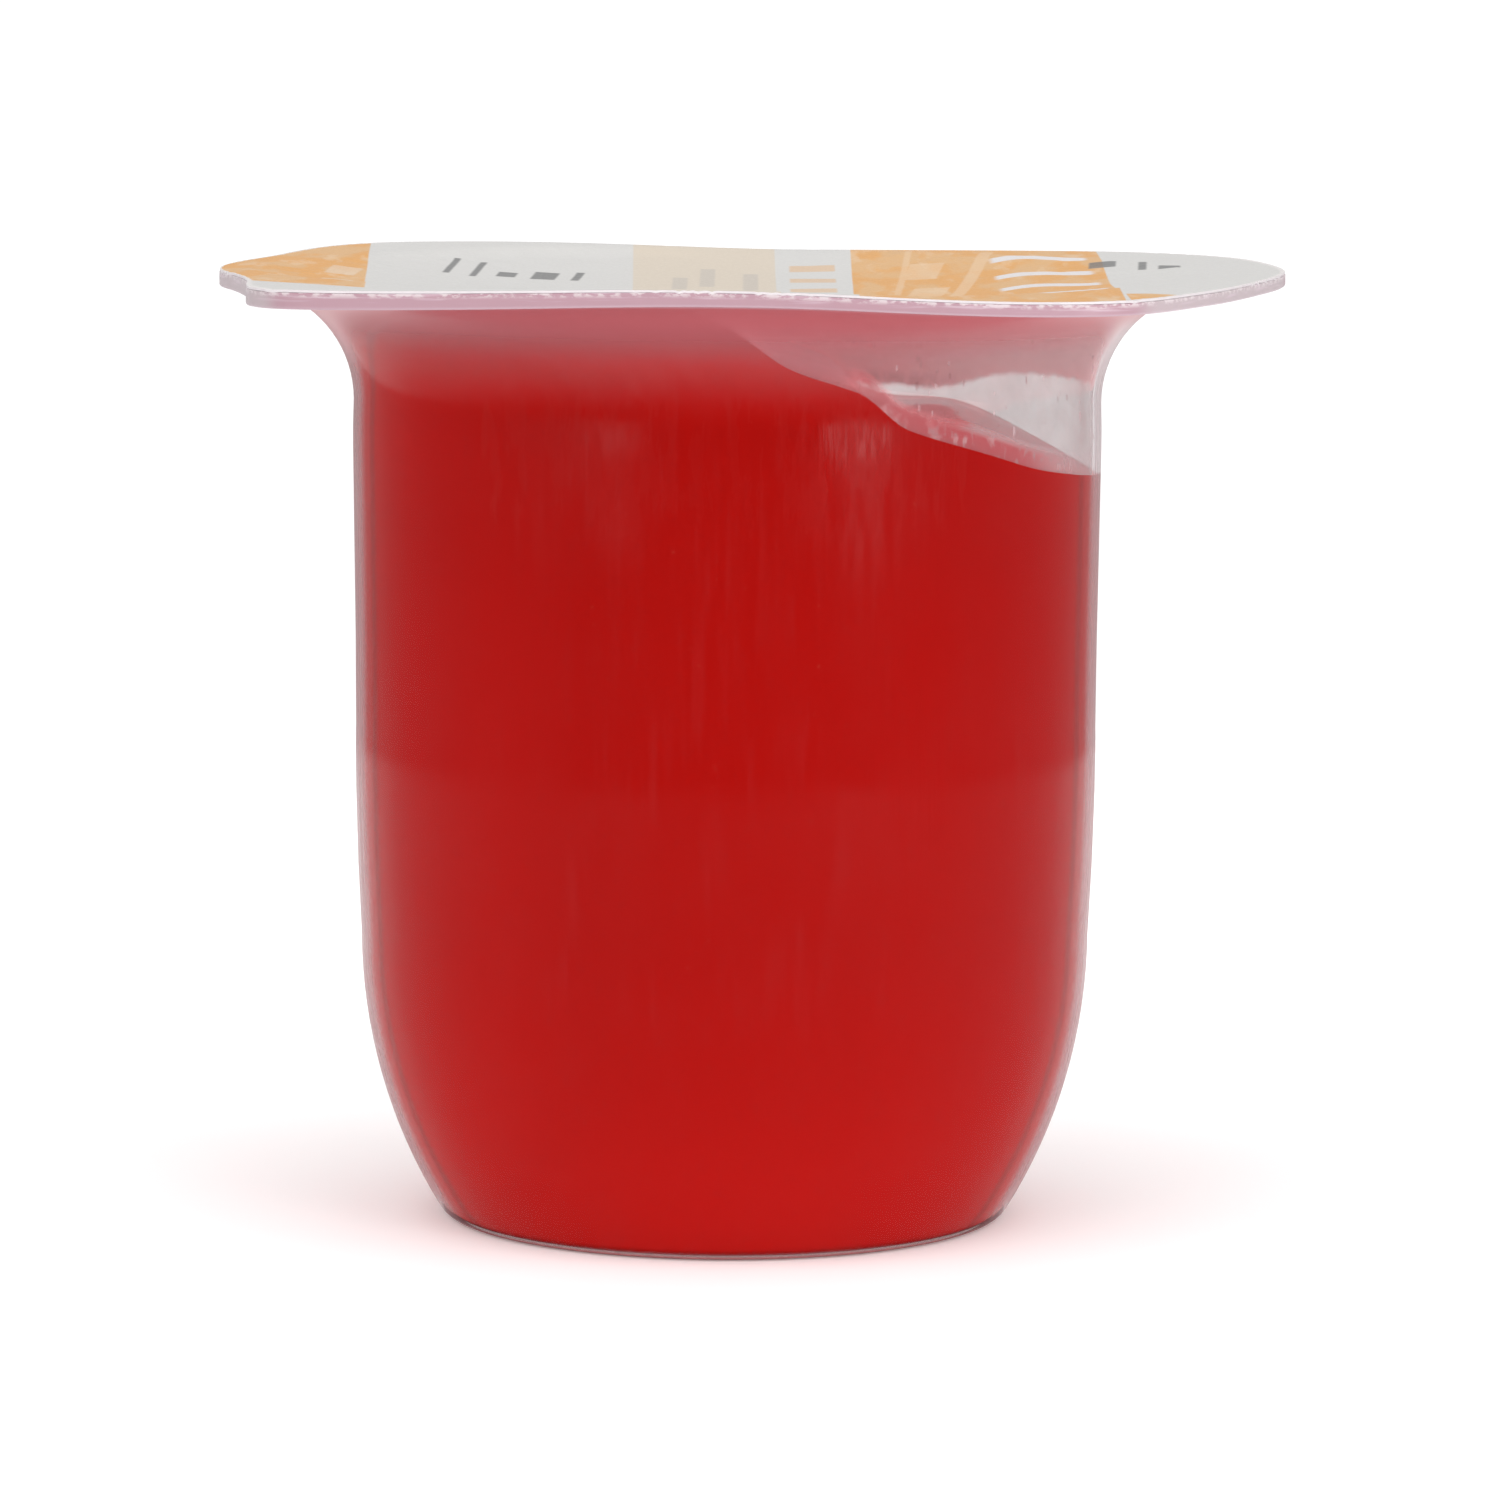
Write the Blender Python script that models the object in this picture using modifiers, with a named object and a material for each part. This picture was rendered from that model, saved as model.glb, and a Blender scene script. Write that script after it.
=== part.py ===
"""Shut portion cup of set jelly, modelled at its real size in metres with +Z up.

The cup stands on its flat base with the origin at the middle of the base.
It is three separate pieces:
  cup    thin turned pot whose flared mouth runs out into one wide flat flange
  jelly  set drink that fills the pot and leaves an air pocket on the +X side
  lid    thin film sealed over the flange, sagging a little over the mouth
+X is towards the longer side of the flange and -Y is the front.
"""

import math

import bpy
from mathutils import Vector
from mathutils.geometry import intersect_line_line_2d

MM = 0.001
COLLECTION = "jelly_cup"
CUTTERS = "jelly_cup_cutters"

# Heights and radii of the pot's outer face, in millimetres
BASE_CORNER = 1.6
LEAST_CORNER = 0.4
LOWER_ARC_RADIUS = 38.0
LOWER_ARC_TOP = 20.5
LOWER_RADIUS = 26.2
MIDDLE_HEIGHT = 31.5
MIDDLE_RADIUS = 26.6
NECK_RADIUS = 26.75
FLARE_START = 58.9
FLARE_RADIUS = 8.15

# Sheet thicknesses and gaps, in millimetres
WALL = 0.6
BASE_WALL = 0.7
LID_FILM = 0.2
GAP = 0.3
LID_GAP = 0.25

# Lid and contents, in millimetres
LID_SAG = 2.0
SAG_RADIUS = 34.0
JELLY_RIM_RADIUS = 30.4

# Plan of the flange and the lid, in millimetres, anticlockwise seen from above
OUTLINE = (
    (40.3, 10.0),
    (38.9, 22.4),
    (35.6, 30.0),
    (30.0, 34.6),
    (22.0, 35.7),
    (0.0, 35.5),
    (-20.0, 36.5),
    (-27.2, 35.6),
    (-31.4, 30.0),
    (-34.2, 19.0),
    (-36.2, 6.0),
    (-36.0, -5.0),
    (-34.2, -13.5),
    (-32.9, -21.5),
    (-32.2, -30.5),
    (-30.6, -34.6),
    (-26.5, -36.2),
    (-14.0, -36.0),
    (0.0, -35.5),
    (13.0, -36.0),
    (22.5, -36.4),
    (28.0, -33.4),
    (33.2, -23.6),
    (37.6, -9.0),
    (39.8, 1.0),
)

# Free surface of the jelly, as (x, height) in millimetres, the same all along Y
JELLY_SURFACE = (
    (-10.0, 67.0),
    (-3.0, 64.4),
    (4.4, 61.9),
    (8.1, 60.9),
    (12.2, 58.2),
    (18.4, 56.2),
    (27.5, 53.2),
)

# Body of air that is cut off above the free surface, in millimetres
POCKET_TOP = 75.0
POCKET_HALF_WIDTH = 40.0
POCKET_OVERHANG = 20.0

# Fineness of the turned pieces
TURN_STEPS = 96
ARC_STEPS = 6
CORNER_STEPS = 3
SAG_STEPS = 4
CURVE_STEPS = 12
RING_STEP = 0.6
RING_TOLERANCE = 0.01
FARTHEST = 100.0
SHARP_ANGLE = 35.0
MERGE_DISTANCE = 0.00001

# Finishes: colour, roughness, metallic, alpha
CUP_FINISH = ((0.80, 0.66, 0.69), 0.30, 0.0, 0.40)
JELLY_FINISH = ((0.42, 0.007, 0.006), 0.20, 0.0, 1.0)
LID_FINISH = ((0.71, 0.69, 0.67), 0.50, 0.0, 1.0)

# Heights worked out from the driving dimensions
FLANGE_UNDERSIDE = FLARE_START + FLARE_RADIUS
FLANGE_TOP = FLANGE_UNDERSIDE + WALL
LID_UNDERSIDE = FLANGE_TOP + LID_GAP
FLARE_CENTRE = NECK_RADIUS + FLARE_RADIUS


def clear_scene():
    """Remove every object so that the script can be run again."""
    for obj in list(bpy.data.objects):
        bpy.data.objects.remove(obj, do_unlink=True)


def new_collection(name):
    """Make a collection in the scene, replacing one of the same name."""
    old = bpy.data.collections.get(name)
    if old:
        bpy.data.collections.remove(old)
    collection = bpy.data.collections.new(name)
    bpy.context.scene.collection.children.link(collection)
    return collection


def new_material(name, finish):
    """Make a plain Principled material from colour, roughness, metallic and alpha."""
    colour, roughness, metallic, alpha = finish
    material = bpy.data.materials.new(name)
    material.use_nodes = True
    shader = material.node_tree.nodes["Principled BSDF"]
    shader.inputs["Base Color"].default_value = (*colour, 1.0)
    shader.inputs["Roughness"].default_value = roughness
    shader.inputs["Metallic"].default_value = metallic
    shader.inputs["Alpha"].default_value = alpha
    material.diffuse_color = (*colour, alpha)
    return material


def arc(centre, radius, start, end, steps):
    """Points of an arc in the (radius, height) plane, angles in degrees."""
    points = []
    for step in range(steps + 1):
        angle = math.radians(start + (end - start) * step / steps)
        points.append((centre[0] + radius * math.cos(angle), centre[1] + radius * math.sin(angle)))
    return points


def pot_profile(offset, floor, rim_radius):
    """Side of the pot as (radius, height) points, from the rim down to the axis.

    offset moves the whole side inwards from the outer face, floor is the height of its
    flat bottom, and rim_radius is where the flared top ends.
    """
    flare = FLARE_RADIUS + offset
    rim_angle = math.degrees(math.acos((rim_radius - FLARE_CENTRE) / flare))
    points = arc((FLARE_CENTRE, FLARE_START), flare, rim_angle, 180.0, ARC_STEPS)
    points.append((MIDDLE_RADIUS - offset, MIDDLE_HEIGHT))
    lower = LOWER_ARC_RADIUS - offset
    centre = Vector((LOWER_RADIUS - LOWER_ARC_RADIUS, LOWER_ARC_TOP))
    corner = max(BASE_CORNER - offset, LEAST_CORNER)
    drop = LOWER_ARC_TOP - floor - corner
    corner_centre = centre + Vector((math.sqrt((lower - corner) ** 2 - drop**2), -drop))
    foot_angle = -math.degrees(math.asin(drop / (lower - corner)))
    points += arc(centre, lower, 0.0, foot_angle, ARC_STEPS)
    points += arc(corner_centre, corner, foot_angle, -90.0, CORNER_STEPS)[1:]
    points.append((0.0, floor))
    return points


def sag_height(radius, rim_height):
    """Height of the sagging film at a radius, level outside the mouth."""
    share = min(radius / SAG_RADIUS, 1.0)
    return rim_height - LID_SAG * (1.0 - share * share)


def sagging_line(rim_height, outer_radius, steps):
    """Points of the sagging film from the axis outwards."""
    points = []
    for step in range(steps + 1):
        radius = outer_radius * step / steps
        points.append((radius, sag_height(radius, rim_height)))
    return points


def turned_object(name, profile, collection):
    """Turn a profile of (radius, height) points in millimetres about Z into a mesh object."""
    mesh = bpy.data.meshes.new(name + "_profile")
    vertices = [(radius * MM, 0.0, height * MM) for radius, height in profile]
    edges = [(index, index + 1) for index in range(len(vertices) - 1)]
    mesh.from_pydata(vertices, edges, [])
    guide = bpy.data.objects.new(name + "_profile", mesh)
    collection.objects.link(guide)
    screw = guide.modifiers.new("turn", "SCREW")
    screw.axis = "Z"
    screw.steps = TURN_STEPS
    screw.render_steps = TURN_STEPS
    screw.use_merge_vertices = True
    screw.merge_threshold = MERGE_DISTANCE
    bpy.context.view_layer.update()
    evaluated = guide.evaluated_get(bpy.context.evaluated_depsgraph_get())
    turned = bpy.data.meshes.new_from_object(evaluated)
    turned.name = name
    bpy.data.objects.remove(guide, do_unlink=True)
    bpy.data.meshes.remove(mesh)
    obj = bpy.data.objects.new(name, turned)
    collection.objects.link(obj)
    return obj


def outline_loop():
    """Flange plan as a closed smooth curve, sampled between the named points."""
    count = len(OUTLINE)
    loop = []
    for index in range(count):
        before, start, end, after = (Vector(OUTLINE[(index + k - 1) % count]) for k in range(4))
        for step in range(CURVE_STEPS):
            t = step / CURVE_STEPS
            point = 0.5 * (
                2.0 * start
                + (end - before) * t
                + (2.0 * before - 5.0 * start + 4.0 * end - after) * t**2
                + (3.0 * start - before - 3.0 * end + after) * t**3
            )
            loop.append(point)
    return loop


def outline_radius(loop, angle):
    """Distance from the axis to the flange's edge in one direction, in millimetres."""
    far = FARTHEST * Vector((math.cos(angle), math.sin(angle)))
    best = 0.0
    for index, point in enumerate(loop):
        hit = intersect_line_line_2d(Vector((0.0, 0.0)), far, loop[index - 1], point)
        if hit:
            best = max(best, hit.length)
    return best


def push_rim_to_outline(obj, rim_radius):
    """Move the outermost ring of a turned piece out to the flange's plan."""
    loop = outline_loop()
    for vertex in obj.data.vertices:
        flat = Vector((vertex.co.x, vertex.co.y))
        if flat.length > (rim_radius - RING_TOLERANCE) * MM:
            angle = math.atan2(flat.y, flat.x)
            edge = outline_radius(loop, angle) * MM
            vertex.co.x = edge * math.cos(angle)
            vertex.co.y = edge * math.sin(angle)
    obj.data.update()


def finish(obj, material):
    """Give a piece its material and smooth shading."""
    obj.data.materials.clear()
    obj.data.materials.append(material)
    obj.data.shade_smooth()
    obj.data.set_sharp_from_angle(angle=math.radians(SHARP_ANGLE))


def build_cup(collection):
    """Thin-walled pot and its wide flange, in one piece."""
    flange_ring = FLARE_CENTRE + RING_STEP
    outer = pot_profile(0.0, 0.0, FLARE_CENTRE)
    inner = pot_profile(WALL, BASE_WALL, FLARE_CENTRE)
    profile = list(reversed(inner))
    profile += [(flange_ring, FLANGE_TOP), (flange_ring, FLANGE_UNDERSIDE)]
    profile += outer
    cup = turned_object("cup", profile, collection)
    push_rim_to_outline(cup, flange_ring)
    finish(cup, new_material("cup", CUP_FINISH))
    return cup


def build_lid(collection):
    """Film lid with the flange's plan, sagging over the mouth."""
    rim = SAG_RADIUS + RING_STEP
    top = sagging_line(LID_UNDERSIDE + LID_FILM, SAG_RADIUS, SAG_STEPS)
    under = sagging_line(LID_UNDERSIDE, SAG_RADIUS, SAG_STEPS)
    profile = top + [(rim, LID_UNDERSIDE + LID_FILM), (rim, LID_UNDERSIDE)]
    profile += list(reversed(under))
    lid = turned_object("lid", profile, collection)
    push_rim_to_outline(lid, rim)
    finish(lid, new_material("lid", LID_FINISH))
    return lid


def air_pocket_cutter(collection):
    """Body of the air pocket: everything above the jelly's free surface."""
    curve = bpy.data.curves.new("air_pocket", "CURVE")
    curve.dimensions = "2D"
    curve.fill_mode = "BOTH"
    curve.extrude = POCKET_HALF_WIDTH * MM
    spline = curve.splines.new("POLY")
    left = JELLY_SURFACE[0][0]
    right, right_height = JELLY_SURFACE[-1]
    outline = list(JELLY_SURFACE)
    outline.append((right + POCKET_OVERHANG, right_height))
    outline.append((right + POCKET_OVERHANG, POCKET_TOP))
    outline.append((left, POCKET_TOP))
    spline.points.add(len(outline) - 1)
    for point, (x, height) in zip(spline.points, outline):
        point.co = (x * MM, height * MM, 0.0, 1.0)
    spline.use_cyclic_u = True
    guide = bpy.data.objects.new("air_pocket_outline", curve)
    guide.rotation_euler = (math.radians(90.0), 0.0, 0.0)
    collection.objects.link(guide)
    bpy.context.view_layer.update()
    evaluated = guide.evaluated_get(bpy.context.evaluated_depsgraph_get())
    mesh = bpy.data.meshes.new_from_object(evaluated)
    cutter = bpy.data.objects.new("air_pocket", mesh)
    cutter.matrix_world = guide.matrix_world.copy()
    collection.objects.link(cutter)
    bpy.data.objects.remove(guide, do_unlink=True)
    weld = cutter.modifiers.new("weld", "WELD")
    weld.merge_threshold = MERGE_DISTANCE
    cutter.hide_render = True
    cutter.display_type = "WIRE"
    return cutter


def build_jelly(collection, cutters):
    """Set jelly inside the pot, up to the lid on one side and to its free surface."""
    side = pot_profile(WALL + GAP, BASE_WALL + GAP, JELLY_RIM_RADIUS)
    profile = sagging_line(LID_UNDERSIDE - GAP, JELLY_RIM_RADIUS, SAG_STEPS) + side
    jelly = turned_object("jelly", profile, collection)
    cut = jelly.modifiers.new("air_pocket", "BOOLEAN")
    cut.operation = "DIFFERENCE"
    cut.solver = "EXACT"
    cut.object = air_pocket_cutter(cutters)
    finish(jelly, new_material("jelly", JELLY_FINISH))
    return jelly


def main():
    clear_scene()
    parts = new_collection(COLLECTION)
    cutters = new_collection(CUTTERS)
    build_cup(parts)
    build_jelly(parts, cutters)
    build_lid(parts)


if __name__ == "__main__":
    main()
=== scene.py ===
import math
import random

import bmesh
import bpy
from mathutils import Matrix, Vector, noise


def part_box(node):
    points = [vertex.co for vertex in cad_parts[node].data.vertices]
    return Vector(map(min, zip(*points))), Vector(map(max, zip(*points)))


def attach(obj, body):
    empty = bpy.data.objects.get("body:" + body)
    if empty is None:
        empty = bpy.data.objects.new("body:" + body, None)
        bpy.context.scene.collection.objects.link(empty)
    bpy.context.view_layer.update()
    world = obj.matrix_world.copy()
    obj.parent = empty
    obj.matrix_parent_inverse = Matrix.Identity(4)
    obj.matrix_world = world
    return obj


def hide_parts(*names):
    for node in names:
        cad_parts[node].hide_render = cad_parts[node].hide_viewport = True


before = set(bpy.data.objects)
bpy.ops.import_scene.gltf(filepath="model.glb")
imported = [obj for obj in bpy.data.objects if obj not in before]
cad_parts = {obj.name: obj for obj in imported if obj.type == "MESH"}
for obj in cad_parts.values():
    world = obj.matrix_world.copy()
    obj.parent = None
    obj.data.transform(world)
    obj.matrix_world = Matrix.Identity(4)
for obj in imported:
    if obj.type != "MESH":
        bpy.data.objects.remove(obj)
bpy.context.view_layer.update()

# Looks of a shut portion cup of set red jelly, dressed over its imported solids.
# Lengths are in metres.  +X is towards the longer side of the flange and -Y is the front.
bl_info = {
    "name": "Jelly portion cup",
    "version": (1, 0, 0),
    "blender": (4, 5, 0),
    "location": "3D View > Sidebar > Jelly Cup",
    "description": "Milky pot, red jelly fill and printed film lid of a portion cup",
    "category": "Object",
}

MM = 0.001
BODY = "root"

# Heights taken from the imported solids
FLANGE_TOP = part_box("cup")[1][2]
LID_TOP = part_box("lid")[1][2]

# Side of the pot: its outer face as radii and heights
FOOT_CORNER = 1.6 * MM
LOWER_ARC = 38.0 * MM
LOWER_TOP = 20.5 * MM
LOWER_RADIUS = 26.2 * MM
WAIST = (
    (26.45 * MM, 25.5 * MM),
    (26.60 * MM, 31.0 * MM),
    (26.63 * MM, 34.0 * MM),
    (26.60 * MM, 35.6 * MM),
    (26.63 * MM, 42.0 * MM),
    (26.73 * MM, 50.0 * MM),
    (26.80 * MM, 55.6 * MM),
    (26.80 * MM, 57.0 * MM),
)
NECK_RADIUS = 26.75 * MM
FLARE_START = 58.9 * MM
FLARE = 8.15 * MM
FLARE_CENTRE = NECK_RADIUS + FLARE
FLANGE_UNDER = FLARE_START + FLARE
PUSH_UP = 0.4 * MM
PUSH_UP_RADIUS = 15.5 * MM
PUSH_UP_SLOPE = 1.4 * MM
INNER_FLOOR = 1.1 * MM

# Flange: its real edge looks thicker than the solid's, up to just under the film
FLANGE_FACE = LID_TOP - 0.215 * MM
FLANGE_ROUND = 0.10 * MM
FLANGE_INSET = 0.02 * MM

# Film over the mouth
FILM_TOP = LID_TOP - 0.05 * MM
FILM = 0.15 * MM
FILM_UNDER = FILM_TOP - FILM
FILM_INSET = 0.08 * MM
SAG = 2.0 * MM
SAG_RADIUS = 34.0 * MM

# Free surface of the jelly along X, as it meets the wall in front
SURFACE = (
    (-16.0 * MM, 68.4 * MM),
    (-10.0 * MM, 68.0 * MM),
    (-3.0 * MM, 66.6 * MM),
    (0.4 * MM, 65.0 * MM),
    (4.0 * MM, 62.45 * MM),
    (7.9 * MM, 61.05 * MM),
    (9.6 * MM, 60.35 * MM),
    (11.9 * MM, 58.4 * MM),
    (13.3 * MM, 57.75 * MM),
    (17.6 * MM, 56.3 * MM),
    (21.6 * MM, 54.85 * MM),
    (26.5 * MM, 53.5 * MM),
    (34.0 * MM, 51.0 * MM),
)
BACK_SHIFT = 2.0 * MM  # the step in the surface lies this much further to -X at the back
BACK_LIFT = 1.2 * MM  # the surface swells up towards the back on its low side
JELLY_RIM = 32.0 * MM
JELLY_FIXED = 49.0 * MM
JELLY_CLEAR = 0.06 * MM

# Strip lights that stand in front, to the left and right of the camera
STRIP_DISTANCE = 0.35
STRIP_WIDTH = 0.12
STRIP_HEIGHT = 0.05
STRIP_LOW = 0.0357
STRIP_LEFT_TURN = -34.0
STRIP_RIGHT_TURN = 39.5

# Floor, and how bright the camera sees the surround
FLOOR_RADIUS = 0.30
SEEN_SURROUND = 1.1

# Camera of the photograph, with its angles in degrees
CAMERA_PLACE = (1.754 * MM, -494.04 * MM, 91.73 * MM)
CAMERA_DIP = 6.713
CAMERA_ROLL = 0.33
CAMERA_LENS = 165.6
CAMERA_SENSOR = 36.0

# Drops: how far round to both sides of +X, their heights and their sizes in millimetres
DROP_TURN = 70.0
DROP_HEIGHTS = (54.5, 63.0)
DROP_SIZES = (0.07, 0.20)

# Fineness
PLAN_STEPS = 96
POT_STEPS = 256
JELLY_STEPS = 256
FILM_STEPS = 720
SIDE_RINGS = 30
SURFACE_RINGS = 60
FILM_RINGS = 34
SEAL_RINGS = 7
UNDER_RINGS = 14
MERGE = 0.002 * MM


def smooth_step(value, low, high):
    """0 below low, 1 above high and a smooth turn between them."""
    share = min(max((value - low) / (high - low), 0.0), 1.0)
    return share * share * (3.0 - 2.0 * share)


def hump(angle, middle, half_width):
    """Smooth hump of height 1 round one direction, in degrees."""
    away = abs((angle - middle + 180.0) % 360.0 - 180.0)
    return 1.0 - smooth_step(away, 0.0, half_width)


def direction(vertex):
    """Direction of a vertex about Z, in degrees."""
    return math.degrees(math.atan2(vertex.co.y, vertex.co.x)) % 360.0


def between(points, place):
    """Smooth curve through (place, value) points, read at a place."""
    if place <= points[0][0]:
        return points[0][1]
    for index in range(len(points) - 1):
        start, end = points[index], points[index + 1]
        if place <= end[0]:
            before = points[max(index - 1, 0)]
            after = points[min(index + 2, len(points) - 1)]
            span = end[0] - start[0]
            t = (place - start[0]) / span
            leave = (end[1] - before[1]) / (end[0] - before[0]) * span
            reach = (after[1] - start[1]) / (after[0] - start[0]) * span
            rest = 3.0 * (end[1] - start[1]) - 2.0 * leave - reach
            last = leave + reach - 2.0 * (end[1] - start[1])
            return start[1] + t * (leave + t * (rest + t * last))
    return points[-1][1]


# Plan of the flange


def read_plan():
    """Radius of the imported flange's edge in evenly spaced directions."""
    plan = [0.0] * PLAN_STEPS
    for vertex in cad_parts["cup"].data.vertices:
        radius = math.hypot(vertex.co.x, vertex.co.y)
        if radius > FLARE_CENTRE + FLANGE_INSET:
            place = round(direction(vertex) * PLAN_STEPS / 360.0) % PLAN_STEPS
            plan[place] = max(plan[place], radius)
    turn = math.tau / PLAN_STEPS
    for place, radius in enumerate(plan):
        if not radius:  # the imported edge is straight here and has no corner
            before, after = plan[place - 1], plan[(place + 1) % PLAN_STEPS]
            plan[place] = 2.0 * before * after * math.cos(turn) / (before + after)
    return plan


PLAN = read_plan()


def edge_radius(angle):
    """Distance from the axis to the flange's edge in one direction."""
    place = (angle % 360.0) * PLAN_STEPS / 360.0
    index = int(place)
    t = place - index
    before, start, end, after = (PLAN[(index + k - 1) % PLAN_STEPS] for k in range(4))
    return 0.5 * (
        2.0 * start
        + (end - before) * t
        + (2.0 * before - 5.0 * start + 4.0 * end - after) * t**2
        + (3.0 * start - before - 3.0 * end + after) * t**3
    )


def flange_lift(radius, angle):
    """How far the thin flange is bent up or down from its plane."""
    bend = 0.30 * hump(angle, 267.0, 32.0) - 0.20 * hump(angle, 300.0, 24.0)
    bend += 0.44 * hump(angle, 116.0, 36.0)
    return bend * MM * smooth_step(radius, 30.0 * MM, 34.6 * MM)


def edge_rise(radius, angle):
    """How much higher the flange's upper face and its film lie along the front left edge."""
    return 0.30 * MM * hump(angle, 221.0, 76.0) * smooth_step(radius, 31.0 * MM, 34.6 * MM)


def film_drop(radius):
    """Depth of the film's sag at a radius."""
    share = min(radius / SAG_RADIUS, 1.0)
    return SAG * (1.0 - share * share)


# Profiles: short runs of vertices in the (radius, height) plane


def start_line(bm, radius, height):
    return bm.verts.new((radius, 0.0, height))


def draw_to(bm, start, radius, height, steps=1):
    """Carry a profile on with a straight stretch."""
    begin = start.co.copy()
    for step in range(steps):
        share = (step + 1) / steps
        place = begin.lerp(Vector((radius, 0.0, height)), share)
        end = bm.verts.new(place)
        bm.edges.new((start, end))
        start = end
    return start


def draw_arc(bm, start, centre, degrees, steps):
    """Carry a profile on along an arc about a (radius, height) centre, anticlockwise."""
    turned = bmesh.ops.spin(
        bm,
        geom=[start],
        cent=(centre[0], 0.0, centre[1]),
        axis=(0.0, 1.0, 0.0),
        angle=-math.radians(degrees),
        steps=steps,
    )
    return [part for part in turned["geom_last"] if isinstance(part, bmesh.types.BMVert)][0]


def draw_side(bm, offset, floor, push_up=0.0):
    """Side of the pot moved inwards by offset, from the axis up to the start of the flare."""
    corner = max(FOOT_CORNER - offset, 0.4 * MM)
    lower = LOWER_ARC - offset
    middle = (LOWER_RADIUS - LOWER_ARC, LOWER_TOP)
    drop = LOWER_TOP - floor - corner
    reach = lower - corner
    corner_centre = (middle[0] + math.sqrt(reach**2 - drop**2), floor + corner)
    foot_angle = math.degrees(math.asin(drop / reach))
    end = start_line(bm, 0.0, floor + push_up)
    end = draw_to(bm, end, PUSH_UP_RADIUS - offset, floor + push_up, 6)
    end = draw_to(bm, end, PUSH_UP_RADIUS + PUSH_UP_SLOPE - offset, floor, 2)
    end = draw_to(bm, end, corner_centre[0], floor, 2)
    end = draw_arc(bm, end, corner_centre, 90.0 - foot_angle, 6)
    end = draw_arc(bm, end, middle, foot_angle, 16)
    for radius, height in WAIST:
        end = draw_to(bm, end, radius - offset, height, 2)
    return draw_to(bm, end, NECK_RADIUS - offset, FLARE_START, 2)


def side_radius(height, offset):
    """Radius of the pot's side at a height, moved inwards by offset."""
    if height > FLARE_START:
        flare = FLARE + offset
        rise = min((height - FLARE_START) / flare, 1.0)
        return FLARE_CENTRE - flare * math.sqrt(1.0 - rise * rise)
    points = [(LOWER_TOP, LOWER_RADIUS)]
    points += [(place, radius) for radius, place in WAIST]
    points.append((FLARE_START, NECK_RADIUS))
    return between(points, height) - offset


def turn_about_axis(bm, steps):
    """Spin the drawn profile right round Z, close its seam and its poles."""
    bmesh.ops.spin(
        bm,
        geom=bm.verts[:] + bm.edges[:],
        cent=(0.0, 0.0, 0.0),
        axis=(0.0, 0.0, 1.0),
        angle=math.tau,
        steps=steps,
        use_merge=True,
    )
    bmesh.ops.remove_doubles(bm, verts=bm.verts[:], dist=MERGE)
    bmesh.ops.recalc_face_normals(bm, faces=bm.faces[:])


def make_piece(name, bm, materials, node=None):
    """Put a finished bmesh in the scene as a piece that rides on the part."""
    mesh = bpy.data.meshes.new(name)
    bm.to_mesh(mesh)
    bm.free()
    for material in materials:
        mesh.materials.append(material)
    mesh.shade_smooth()
    mesh.set_sharp_from_angle(angle=math.radians(50.0))
    piece = bpy.data.objects.new(name, mesh)
    bpy.context.scene.collection.objects.link(piece)
    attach(piece, BODY)
    if node:
        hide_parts(node)
    return piece


# Shader nodes


def new_tree(name):
    """An empty node tree of a new material, and the material."""
    material = bpy.data.materials.new(name)
    material.use_nodes = True
    material.node_tree.nodes.clear()
    return material, material.node_tree


def add_node(tree, kind, inputs=None, **settings):
    """A node with its settings, and with its inputs linked or set."""
    node = tree.nodes.new(kind)
    for key, value in settings.items():
        setattr(node, key, value)
    for key, value in (inputs or {}).items():
        if isinstance(value, bpy.types.NodeSocket):
            tree.links.new(value, node.inputs[key])
        else:
            node.inputs[key].default_value = value
    return node


def maths(tree, operation, first, second=0.0, third=0.0, clamp=False):
    """Result of one Math node."""
    node = add_node(tree, "ShaderNodeMath", {0: first, 1: second, 2: third}, operation=operation)
    node.use_clamp = clamp
    return node.outputs[0]


def times(tree, *shares):
    """Product of several shares."""
    total = shares[0]
    for share in shares[1:]:
        total = maths(tree, "MULTIPLY", total, share)
    return total


def any_of(tree, shares):
    """Largest of several shares."""
    total = shares[0]
    for share in shares[1:]:
        total = maths(tree, "MAXIMUM", total, share)
    return total


def ramp(tree, value, low, high, start=0.0, end=1.0, smooth=True):
    """Value carried from low..high to start..end."""
    kind = "SMOOTHSTEP" if smooth else "LINEAR"
    inputs = {"Value": value, "From Min": low, "From Max": high, "To Min": start, "To Max": end}
    return add_node(tree, "ShaderNodeMapRange", inputs, interpolation_type=kind).outputs["Result"]


def place_mm(tree, scale=(1.0, 1.0, 1.0)):
    """Object coordinates in millimetres, as a vector."""
    coordinates = add_node(tree, "ShaderNodeTexCoord")
    factors = tuple(1000.0 * part for part in scale)
    inputs = {"Vector": coordinates.outputs["Object"], "Scale": factors}
    return add_node(tree, "ShaderNodeMapping", inputs).outputs["Vector"]


def split(tree, vector):
    return add_node(tree, "ShaderNodeSeparateXYZ", {"Vector": vector}).outputs


def cloud(tree, vector, scale, detail=2.0, roughness=0.5):
    """Soft noise from 0 to 1."""
    inputs = {"Vector": vector, "Scale": scale, "Detail": detail, "Roughness": roughness}
    return add_node(tree, "ShaderNodeTexNoise", inputs).outputs["Fac"]


def blend_colours(tree, share, first, second):
    """Colour between two colours."""
    node = add_node(tree, "ShaderNodeMix", data_type="RGBA")
    for socket, value in ((node.inputs[0], share), (node.inputs[6], first), (node.inputs[7], second)):
        if isinstance(value, bpy.types.NodeSocket):
            tree.links.new(value, socket)
        elif isinstance(value, (int, float)):
            socket.default_value = value
        else:
            socket.default_value = (*value, 1.0)
    return node.outputs[2]


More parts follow.
